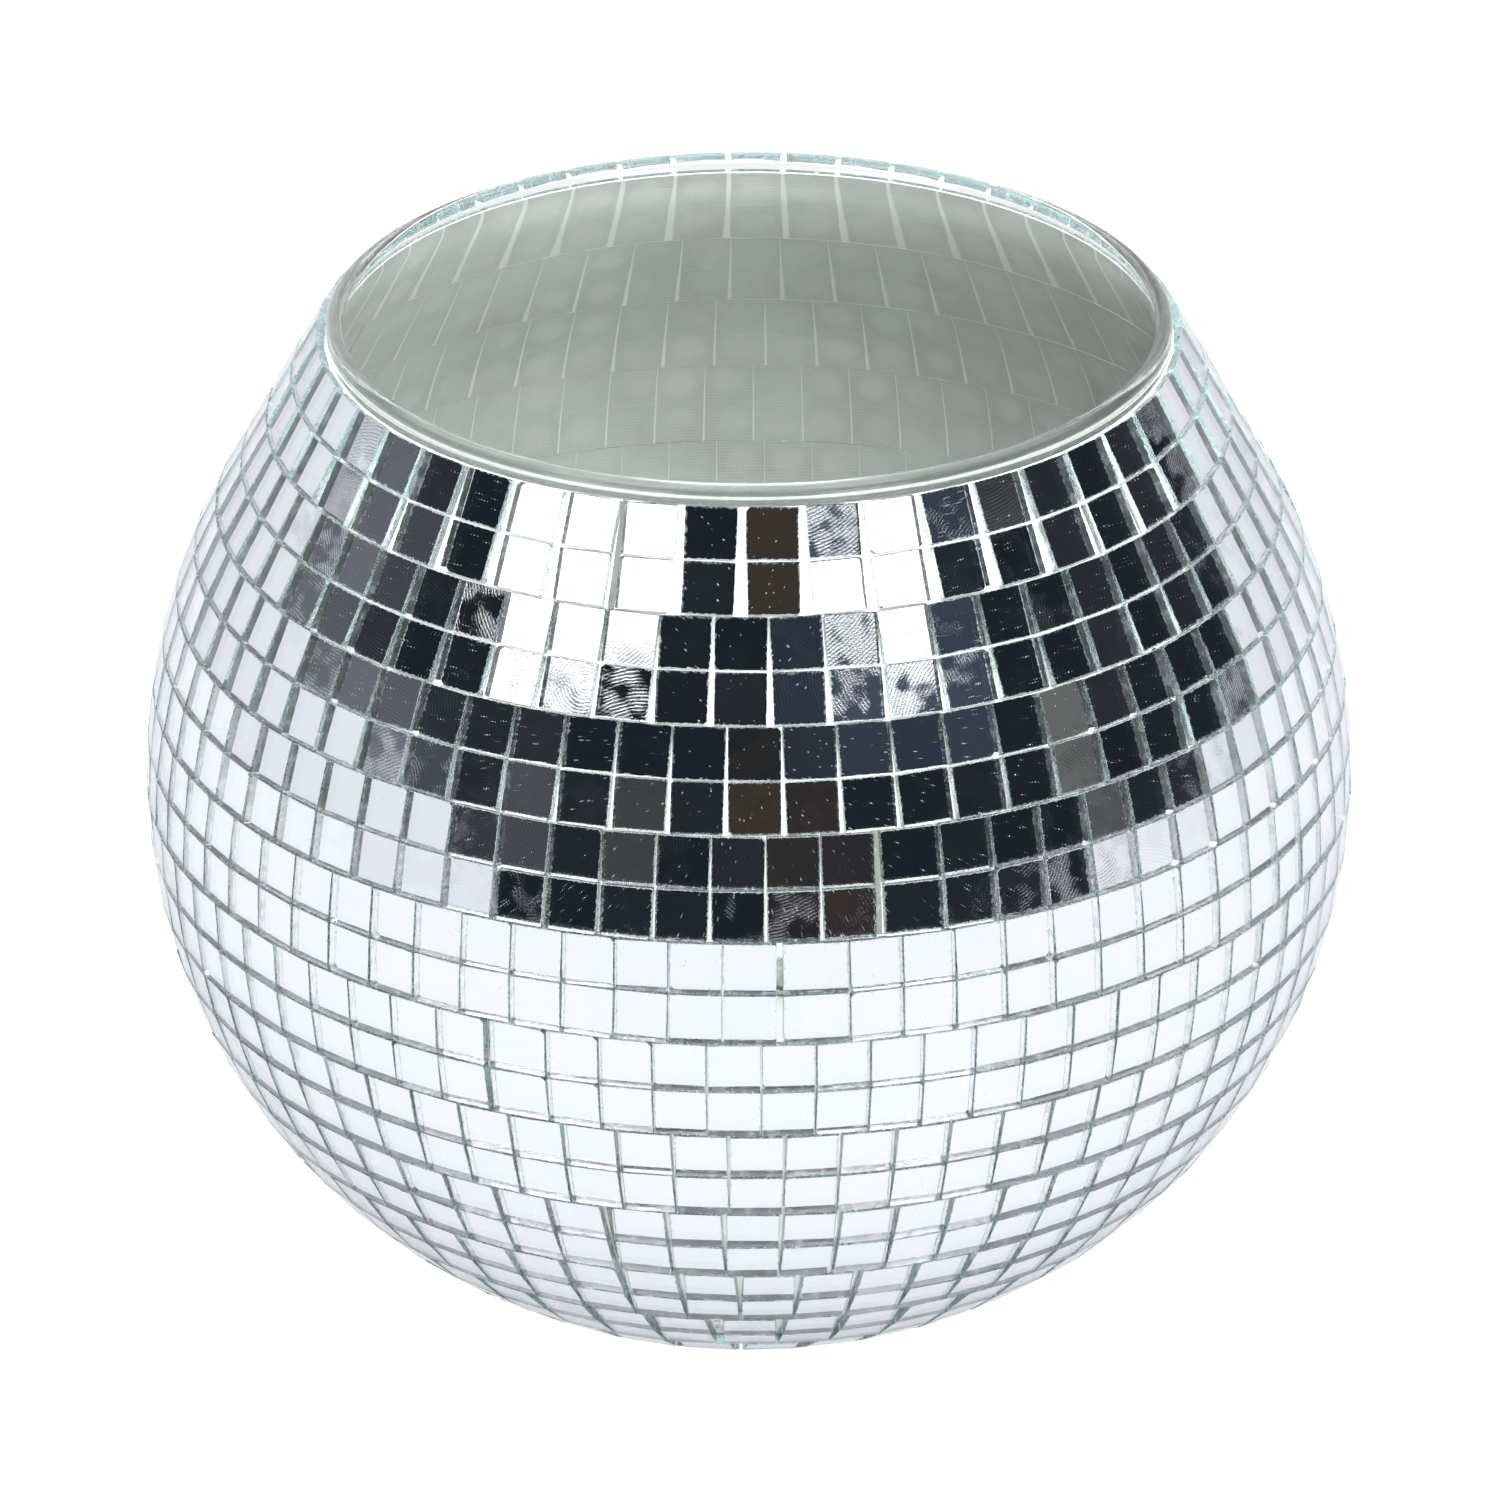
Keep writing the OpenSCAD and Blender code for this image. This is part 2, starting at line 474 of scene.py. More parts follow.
class Finish:
    """A material that is built from nodes."""

    def __init__(self, name: str) -> None:
        """Makes the empty material.

        Args:
            name: The material's name.
        """
        self.material = bpy.data.materials.new(name)
        self.material.use_nodes = True
        self.bench = NodeBench(self.material.node_tree)
        self.surface = self.material.node_tree.nodes["Principled BSDF"]

    def set(self, **values: Feed) -> None:
        """Feeds the surface's inputs, with underscores for the spaces in their names."""
        for name, value in values.items():
            self.bench.feed(self.surface.inputs[name.replace("_", " ")], value)

    def coordinates(self) -> NodeSocket:
        """Returns the piece's own coordinates in metres."""
        return self.bench.add("ShaderNodeTexCoord").outputs["Object"]

    def uv(self, name: str) -> NodeSocket:
        """Returns one of the piece's UV maps."""
        return self.bench.add("ShaderNodeUVMap", uv_map=name).outputs[0]

    def tone(self) -> NodeSocket:
        """Returns the random vector that each tile carries."""
        return self.bench.add("ShaderNodeAttribute", attribute_name="tile_tone").outputs["Vector"]

    def bump(self, height: Feed, strength: float, distance: float) -> NodeSocket:
        """Returns a normal bent by a height."""
        feeds = {"Height": height, "Strength": strength, "Distance": distance}
        return self.bench.add("ShaderNodeBump", feeds).outputs[0]


@dataclass(frozen=True)
class BlownGlass:
    """Clear blown glass with faint smears."""

    tint: Colour = (0.955, 0.985, 0.978)
    ior: float = 1.5
    smear: float = 0.035

    def make(self) -> Material:
        """Returns the material."""
        finish = Finish("clear blown glass")
        place = finish.coordinates()
        smears = finish.bench.ramp(finish.bench.noise(place, 24.0, 4.0), 0.5, 0.75, 0.0, self.smear)
        finish.set(
            Base_Color=self.tint,
            Roughness=smears,
            IOR=self.ior,
            Transmission_Weight=1.0,
            Normal=finish.bump(finish.bench.noise(place, 18.0, 1.0), 0.25, 0.4 * MM),
        )
        return finish.material


@dataclass(frozen=True)
class GluedGlass:
    """The bowl's outer face where glue wets it, which neither bends nor mirrors the light."""

    tint: Colour = (0.99, 0.995, 0.99)

    def make(self) -> Material:
        """Returns the material."""
        finish = Finish("glue-wet glass")
        wet = finish.bench.noise(finish.coordinates(), 40.0, 2.0)
        cloudy = tuple(0.97 * c for c in self.tint)
        finish.set(
            Base_Color=finish.bench.blend(wet, cloudy, self.tint),
            Roughness=0.0,
            IOR=1.0,
            Transmission_Weight=1.0,
        )
        return finish.material


@dataclass(frozen=True)
class TileGlass:
    """The polished face of a mirror tile."""

    tint: Colour = (0.975, 0.99, 0.985)
    ior: float = 1.52
    scuffed: float = 0.05
    flaked: float = 0.55

    def make(self, shared: Finishes) -> Material:
        """Returns the material."""
        finish = Finish("polished tile glass")
        face, tone = finish.uv("tile_uv"), finish.tone()
        marks = finish.bench.grouped(shared.scuffs, {"Face": face, "Tone": tone}).outputs
        flakes = finish.bench.grouped(shared.flakes, {"Face": face, "Tone": tone}).outputs["Flakes"]
        haze = finish.bench.times(marks["Scuff"], self.scuffed)
        rough = finish.bench.math("MAXIMUM", haze, finish.bench.times(flakes, self.flaked))
        finish.set(
            Base_Color=self.tint,
            Roughness=finish.bench.math("MAXIMUM", rough, finish.bench.times(marks["Specks"], 0.8)),
            IOR=self.ior,
            Transmission_Weight=1.0,
            Normal=finish.bump(marks["Ripple"], 0.1, 0.01 * MM),
        )
        return finish.material


@dataclass(frozen=True)
class CutEdge:
    """The scored and snapped side of a mirror tile."""

    tint: Colour = (0.74, 0.915, 0.915)
    ior: float = 1.52
    rough: float = 0.16
    clear: float = 0.93

    def make(self) -> Material:
        """Returns the material."""
        finish = Finish("snapped tile edge")
        bench, place = finish.bench, finish.coordinates()
        streaks = bench.noise(place, 900.0, 4.0, 0.7)
        finish.set(
            Base_Color=self.tint,
            Roughness=bench.ramp(bench.noise(place, 420.0, 2.0), 0.35, 0.7, 0.02, self.rough * 2),
            IOR=self.ior,
            Transmission_Weight=self.clear,
            Normal=finish.bump(streaks, 0.55, 0.15 * MM),
        )
        return finish.material


@dataclass(frozen=True)
class Silvering:
    """The silver coat on a tile's back, under its paint."""

    silver: Colour = (0.86, 0.875, 0.905)
    paint: Colour = (0.36, 0.38, 0.345)

    def make(self, shared: Finishes) -> Material:
        """Returns the material."""
        finish = Finish("silvered tile back")
        bench = finish.bench
        marks = bench.grouped(shared.scuffs, {"Face": finish.uv("tile_uv"), "Tone": finish.tone()}).outputs
        inside = bench.add("ShaderNodeNewGeometry").outputs["Backfacing"]
        dull = bench.times(marks["Specks"], 0.85)
        hue = bench.ramp(bench.noise(finish.coordinates(), 60.0, 2.0), 0.3, 0.7)
        silver = bench.blend(hue, self.silver, (self.silver[0] * 1.02, *self.silver[1:]))
        finish.set(
            Base_Color=bench.blend(inside, self.paint, silver),
            Metallic=bench.math("SUBTRACT", inside, dull, clamp=True),
            Roughness=bench.times(marks["Specks"], 0.5),
            Normal=finish.bump(marks["Ripple"], 0.5, 0.01 * MM),
        )
        return finish.material


@dataclass(frozen=True)
class GluedMesh:
    """Sage-grey paint and dried glue on a fine mesh, with pale lines at the tile joints that are partly
    pale glue and partly painted light leaking through the gaps.
    """

    sage: Colour = (0.70, 0.72, 0.685)
    dab: Colour = (0.76, 0.77, 0.75)
    # pale is the threads' own colour, and the colour of the joint and row lines, which are partly pale glue
    # and partly painted light through the gaps.
    pale: Colour = (0.96, 0.97, 0.95)

    def make(self, shared: Finishes) -> Material:
        """Returns the material."""
        finish = Finish("glued mesh backing")
        bench, place = finish.bench, finish.coordinates()
        gap = bench.add("ShaderNodeAttribute", attribute_name="joint_gap").outputs["Fac"]
        feeds = {"Strip": finish.uv("strip_uv"), "Place": place, "Gap": gap}
        weave = bench.grouped(shared.weave, feeds).outputs
        blotch = bench.ramp(bench.noise(place, 55.0, 3.0), 0.3, 0.7)
        darker = tuple(0.86 * c for c in self.sage)
        colour = bench.blend(blotch, darker, self.sage)
        colour = bench.blend(bench.times(weave["Dabs"], 0.8), colour, self.dab)
        colour = bench.blend(bench.times(weave["Threads"], 0.2), colour, self.pale)
        # Painted light: faint pale lines at the row joints stand for light leaking through the gaps, over
        # the glue's own pale colour.
        colour = bench.blend(bench.times(weave["Rows"], 0.07), colour, self.pale)
        # Painted light: the pale column-joint lines stand for light leaking through the gaps between tiles,
        # over the glue's own pale colour.
        colour = bench.blend(weave["Joints And Painted Leak"], colour, self.pale)
        finish.set(
            Base_Color=colour,
            Roughness=bench.lerp(weave["Dabs"], 0.85, 0.55),
            Normal=finish.bump(weave["Threads"], 0.3, 0.1 * MM),
        )
        return finish.material


@dataclass(frozen=True)
class TableTop:
    """The plain pale floor, lit from under as well, so that it stays bright beneath the bowl."""

    white: Colour = (0.05, 0.05, 0.05)
    lit: Colour = (0.82, 0.84, 0.89)
    seen: Colour = (1.05, 1.05, 1.05)

    def make(self) -> Material:
        """Returns the material."""
        finish = Finish("pale floor")
        bench = finish.bench
        cloud = bench.noise(finish.coordinates(), 3.0, 2.0)
        near = tuple(0.985 * c for c in self.white)
        path = bench.add("ShaderNodeLightPath").outputs
        depth = bench.plus(path["Glossy Depth"], path["Diffuse Depth"])
        direct = bench.math("LESS_THAN", depth, 0.5)
        finish.set(
            Base_Color=bench.blend(cloud, near, self.white),
            Roughness=0.7,
            Specular_IOR_Level=0.2,
            Emission_Color=bench.blend(direct, self.lit, self.seen),
            Emission_Strength=1.0,
        )
        return finish.material


# ---------------------------------------------------------------- pieces


def settle(piece: Object, slot: Slot, *nodes: str) -> None:
    """Rides a finished piece on the body in place of CAD nodes.

    Args:
        piece: The finished mesh object.
        slot: The material slot that it stands for; not used.
        *nodes: The CAD nodes that it stands for.
    """
    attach(piece, ROOT)
    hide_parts(*nodes)
    LOG.info("%s: %d faces", piece.name, len(piece.data.polygons))


class BlownBowl:
    """The clear bowl with its rounded lip, turned from one profile."""

    def __init__(
        self, layout: StripLayout, glass: Material, glued: Material, turns: int = 192
    ) -> None:
        """Takes the bowl's sizes.

        Args:
            layout: The strips' layout, for the depth of the glass.
            glass: The bowl's material.
            glued: The material of the face under the strips.
            turns: How many segments go round it.
        """
        self.layout, self.glass, self.glued, self.turns = layout, glass, glued, turns

    def outline(self) -> list[tuple[float, float]]:
        """Returns the section from the middle underneath, round the lip, to the middle of the floor."""
        shape, outside = self.layout.profile, self.layout.glass_top
        inside = outside + shape.wall
        top = self.layout.line_s(0)
        step = self.layout.row_pitch / 3
        foot = shape.s_at_height(0, outside)
        floor = shape.s_at_height(shape.base_thick, inside)
        up = np.linspace(foot, top, int((top - foot) / step))
        down = np.linspace(top, floor, int((top - floor) / step))
        lip_z = shape.belly_z + shape.lip_rise
        outer, inner = shape.skin(top, outside), shape.skin(top, inside)
        start = math.atan2(outer[1] - lip_z, outer[0] - shape.lip_r) + shape.lip_merge
        end = math.atan2(inner[1] - lip_z, inner[0] - shape.lip_r) + math.tau - shape.lip_merge
        around, bead_r = np.linspace(start, end, shape.lip_points), shape.lip_d / 2
        bead = [(shape.lip_r + bead_r * math.cos(a), lip_z + bead_r * math.sin(a)) for a in around]
        under = [(0.0, shape.punt_depth), (shape.punt_r * 0.97, shape.punt_depth), (shape.punt_r, 0.0)]
        return [
            *under,
            *(shape.skin(s, outside) for s in up),
            *bead,
            *(shape.skin(s, inside) for s in down),
            (0.0, shape.base_thick),
        ]

    def tree(self) -> NodeTree:
        """Returns the tree that turns a profile round the bowl's axis."""
        bench = GroupBench(
            "turn a profile",
            "GeometryNodeTree",
            {"Profile": "Object", "Points": "Int", "Turns": "Int", "Finish": "Material"},
            {"Geometry": "Geometry"},
        )
        points, turns = bench.given["Points"], bench.given["Turns"]
        feeds = {"Vertices X": bench.plus(turns, 1.0), "Vertices Y": points}
        grid = bench.add("GeometryNodeMeshGrid", feeds)
        index = bench.add("GeometryNodeInputIndex").outputs[0]
        along = bench.math("MODULO", index, points)
        turn = bench.times(bench.math("FLOOR", bench.math("DIVIDE", index, points)), math.tau)
        turn = bench.math("DIVIDE", turn, turns)
        source = bench.add("GeometryNodeObjectInfo", {"Object": bench.given["Profile"]})
        place = bench.add("GeometryNodeInputPosition").outputs[0]
        feeds = {"Geometry": source.outputs["Geometry"], "Value": place, "Index": along}
        sample = bench.add("GeometryNodeSampleIndex", feeds, data_type="FLOAT_VECTOR", domain="POINT")
        radius, _, height = bench.split(sample.outputs[0])
        feeds = {"Geometry": grid.outputs["Mesh"], "Position": bench.around(radius, turn, height)}
        moved = bench.add("GeometryNodeSetPosition", feeds)
        feeds = {"Geometry": bench.weld(moved.outputs[0]), "Shade Smooth": True}
        smooth = bench.add("GeometryNodeSetShadeSmooth", feeds)
        bench.hand_out(smooth.outputs[0], bench.given["Finish"])
        return bench.tree

    def build(self) -> Object:
        """Builds and dresses the bowl.

        Returns:
            The bowl's object.
        """
        section = self.outline()
        guide_mesh = bpy.data.meshes.new("bowl section")
        guide_mesh.from_pydata([(r, 0.0, z) for r, z in section], [], [])
        guide = bpy.data.objects.new("bowl section", guide_mesh)
        bpy.context.scene.collection.objects.link(guide)
        values = {"Profile": guide, "Points": len(section), "Turns": self.turns, "Finish": self.glass}
        bowl = run_tree("blown_bowl", self.tree(), values)
        bpy.data.objects.remove(guide)
        bpy.data.meshes.remove(guide_mesh)
        point_outwards(bowl)
        self.wet_face(bowl.data)
        settle(bowl, Slot.GLASS, "glass_bowl")
        return bowl

    def wet_face(self, mesh: Mesh) -> None:
        """Gives the outer face under the strips its own material."""
        layout = self.layout
        low, high = (layout.profile.skin(layout.line_s(k), layout.glass_top)[1] for k in (layout.rows, 0))
        mesh.materials.clear()
        mesh.materials.append(self.glass)
        mesh.materials.append(self.glued)
        for face in mesh.polygons:
            middle = face.center
            outside = face.normal.x * middle.x + face.normal.y * middle.y > 0
            face.material_index = int(outside and low < middle.z < high)


def point_outwards(piece: Object) -> None:
    """Flips a closed mesh whose volume comes out negative."""
    mesh = piece.data
    mesh.calc_loop_triangles()
    corners = np.array([v.co for v in mesh.vertices])[np.array([t.vertices for t in mesh.loop_triangles])]
    if np.einsum("ij,ij->i", corners[:, 0], np.cross(corners[:, 1], corners[:, 2])).sum() < 0:
        mesh.flip_normals()


class SkinGroup:
    """The node group that gives a point of the bowl's skin, as BowlProfile does."""

    def __init__(self, shape: BowlProfile) -> None:
        """Builds the group.

        Args:
            shape: The bowl's profile.
        """
        bench = GroupBench(
            "bowl skin",
            "GeometryNodeTree",
            {"Along": "Float", "Depth": "Float", "Turn": "Float"},
            {"Point": "Vector", "Lean": "Float"},
        )
        s, depth, turn = (bench.given[name] for name in ("Along", "Depth", "Turn"))
        upper = bench.math("GREATER_THAN", s, 0.0)
        arc = bench.lerp(upper, shape.lower_arc_r, shape.upper_arc_r)
        lean = bench.math("MINIMUM", bench.math("DIVIDE", s, arc), shape.shoulder_lean)
        sine, cosine = bench.math("SINE", lean), bench.math("COSINE", lean)
        knee = shape.upper_arc_r * shape.shoulder_lean
        straight = bench.math("MAXIMUM", bench.minus(s, knee), 0.0)
        in_by = bench.minus(arc, depth)
        radius = bench.plus(bench.times(in_by, cosine), shape.belly_r)
        radius = bench.minus(bench.minus(radius, arc), bench.times(straight, sine))
        height = bench.plus(bench.times(in_by, sine), shape.belly_z)
        height = bench.plus(height, bench.times(straight, cosine))
        bench.feed(bench.made["Point"], bench.around(radius, turn, height))
        bench.feed(bench.made["Lean"], lean)
        self.tree = bench.tree


class MeshStrips:
    """The bands of glued mesh that hold the tiles two rows at a time."""

    def __init__(self, layout: StripLayout, skin: SkinGroup, finish: Material) -> None:
        """Takes what the strips are made from.

        Args:
            layout: The strips' layout.
            skin: The bowl's skin as a node group.
            finish: The strips' material.
        """
        self.layout, self.skin, self.finish = layout, skin, finish

    def tree(self) -> NodeTree:
        """Returns the tree that lays one band of a given width round the skin."""
        bench = GroupBench(
            "lay a strip mesh",
            "GeometryNodeTree",
            {
                "Start": "Float",
                "Sweep": "Float",
                "Top": "Float",
                "Bottom": "Float",
                "Depth": "Float",
                "Thickness": "Float",
                "Turns": "Int",
                "Steps": "Int",
                "Finish": "Material",
            },
            {"Geometry": "Geometry"},
        )
        given = bench.given
        feeds = {"Vertices X": given["Turns"], "Vertices Y": given["Steps"]}
        grid = bench.add("GeometryNodeMeshGrid", feeds)
        place = bench.add("GeometryNodeInputPosition").outputs[0]
        x, y, _ = bench.split(place)
        turn = bench.math("MULTIPLY_ADD", bench.plus(x, 0.5), given["Sweep"], given["Start"])
        along = bench.lerp(bench.plus(y, 0.5), given["Bottom"], given["Top"])
        back = bench.plus(given["Depth"], given["Thickness"])
        feeds = {"Along": along, "Depth": back, "Turn": turn}
        point = bench.grouped(self.skin.tree, feeds).outputs["Point"]
        sheet = bench.add("GeometryNodeSetPosition", {"Geometry": grid.outputs["Mesh"], "Position": point})
        raised = bench.add(
            "GeometryNodeExtrudeMesh",
            {"Mesh": sheet.outputs[0], "Offset Scale": given["Thickness"], "Individual": False},
        )
        under = bench.add("GeometryNodeFlipFaces", {"Mesh": sheet.outputs[0]})
        joined = bench.add("GeometryNodeJoinGeometry")
        bench.feed(joined.inputs[0], raised.outputs["Mesh"])
        bench.feed(joined.inputs[0], under.outputs[0])
        bench.hand_out(bench.weld(joined.outputs[0]), given["Finish"])
        return bench.tree

    def map_columns(self, piece: Object, i: int) -> None:
        """Gives a strip a UV map that counts its columns and rows of tiles.

        Args:
            piece: The strip's object.
            i: The strip's number.
        """
        layout, mesh = self.layout, piece.data
        whole, closing = layout.columns(i)
        places = np.array([v.co for v in mesh.vertices])
        turn = (layout.seam(i) - np.arctan2(places[:, 1], places[:, 0])) % math.tau
        length = turn * layout.narrow_r(i) - layout.seam_gap / 2
        pitch = layout.column_pitch(i)
        column = (length + (pitch - layout.tile) / 2) / pitch
        squeeze = pitch / (closing + pitch - layout.tile)
        column = np.where(column > whole, whole + (column - whole) * squeeze, column)
        top, bottom = layout.edges(i)
        heights = np.linspace(bottom, top, 60)
        line = [layout.profile.skin(s, layout.mesh_top)[1] for s in heights]
        row = (top - np.interp(places[:, 2], line, heights)) / layout.row_pitch
        corners = np.array([loop.vertex_index for loop in mesh.loops])
        own_pitch = pitch * np.hypot(places[:, 0], places[:, 1]) / layout.narrow_r(i)
        gap = mesh.attributes.new("joint_gap", "FLOAT", "POINT")
        gap.data.foreach_set("value", ((1 - layout.tile / own_pitch) / 2).astype(np.float32))
        uv = mesh.uv_layers.new(name="strip_uv")
        uv.data.foreach_set("uv", np.c_[column, row][corners].astype(np.float32).ravel())

    def build(self) -> list[Object]:
        """Builds and dresses every strip.

        Returns:
            The strips' objects.
        """
        layout, tree, made = self.layout, self.tree(), []
        for i in range(1, layout.strips + 1):
            opening = layout.seam_gap / layout.narrow_r(i)
            top, bottom = layout.edges(i)
            values = {
                "Start": layout.seam(i) + opening / 2,
                "Sweep": math.tau - opening,
                "Top": top - layout.mesh_gap / 2,
                "Bottom": bottom + layout.mesh_gap / 2,
                "Depth": layout.mesh_top + layout.mesh_sink,
                "Thickness": layout.mesh_thick - layout.mesh_sink,
                "Turns": layout.mesh_turns,
                "Steps": layout.mesh_steps,
                "Finish": self.finish,
            }
            strip = run_tree(f"glued_mesh_{i:02d}", tree, values)
            point_outwards(strip)
            self.map_columns(strip, i)
            settle(strip, Slot.MESH, f"strip_mesh_{i:02d}")
            made.append(strip)
        return made


@dataclass(frozen=True)
class HandCut:
    """How unevenly a tile is cut. The ranges are in millimetres."""

    nip: tuple[float, float] = (0.04, 0.12)
    big_nip: tuple[float, float] = (0.3, 0.8)
    big_share: float = 0.5
    waver: tuple[float, float] = (0.0, 0.05)
    slope: tuple[float, float] = (-0.03, 0.06)
    rim_waver: float = 0.6
    back_inset: float = 0.02 * MM
    chamfer: float = 0.04 * MM


class TileBlank:
    """One cut tile, lying at the origin with its face towards +X."""

    def __init__(self, size: float, thick: float, chance: np.random.Generator) -> None:
        """Takes the tile's sizes.

        Args:
            size: The side of the square.
            thick: The thickness of the glass.
            chance: Where the uneven cuts come from.
        """
        self.size, self.thick, self.chance = size, thick, chance

    def ring(self, inset: float, corners: np.ndarray, waver: np.ndarray, slope: np.ndarray) -> np.ndarray:
        """Returns the square's outline, anticlockwise, with four points on each side.

        Args:
            inset: How far the outline lies inside the full square.
            corners: How far each corner is cut off.
            waver: How far each point stands in from a straight cut.
            slope: How far each side leans in.
        """
        half = self.size / 2 - inset
        points = []
        for side in range(4):
            turn = side * math.pi / 2
            along = np.array([-half + corners[side], -half / 3, half / 3, half - corners[(side + 1) % 4]])
            out = -half + waver[side] + slope[side]
            points += [
                (math.cos(turn) * a - math.sin(turn) * b, math.sin(turn) * a + math.cos(turn) * b)
                for a, b in zip(along, out, strict=True)
            ]
        return np.array(points)

    def mesh(self, name: str) -> Mesh:
        """Builds the tile with its face kinds and UV map.

        Args:
            name: The mesh's name.

        Returns:
            The tile's mesh.
        """
        chance, cut = self.chance, HandCut()
        corners = chance.uniform(*cut.nip, 4) * MM
        if chance.random() < cut.big_share:
            corners[chance.integers(4)] = chance.uniform(*cut.big_nip) * MM
        waver = chance.uniform(*cut.waver, (4, 4)) * MM
        slope = chance.uniform(*cut.slope, 4) * MM
        level = np.zeros(4)
        rings = [
            (self.ring(cut.chamfer, corners, waver, level), 0.0),
            (self.ring(0.0, corners, waver * cut.rim_waver, level), -cut.chamfer),
            (self.ring(0.0, corners, waver, slope + cut.back_inset), -self.thick),
        ]
        count = len(rings[0][0])
        places = [(x, y, z) for ring, x in rings for y, z in ring]
        faces = [tuple(range(count))]
        kinds = [TileFace.FRONT]
        for low in range(2):
            for k in range(count):
                after = (k + 1) % count
                a, b = low * count, (low + 1) * count
                faces.append((a + k, b + k, b + after, a + after))
                kinds.append(TileFace.CUT)
        faces.append(tuple(2 * count + k for k in reversed(range(count))))
        kinds.append(TileFace.BACK)
        mesh = bpy.data.meshes.new(name)
        mesh.from_pydata(places, [], faces)
        kind = mesh.attributes.new("face_kind", "INT", "FACE")
        kind.data.foreach_set("value", [k.value for k in kinds])
        uv = mesh.uv_layers.new(name="tile_uv")
        across = [places[loop.vertex_index][1:] for loop in mesh.loops]
        uv.data.foreach_set("uv", (np.array(across) / self.size + 0.5).astype(np.float32).ravel())
        return mesh


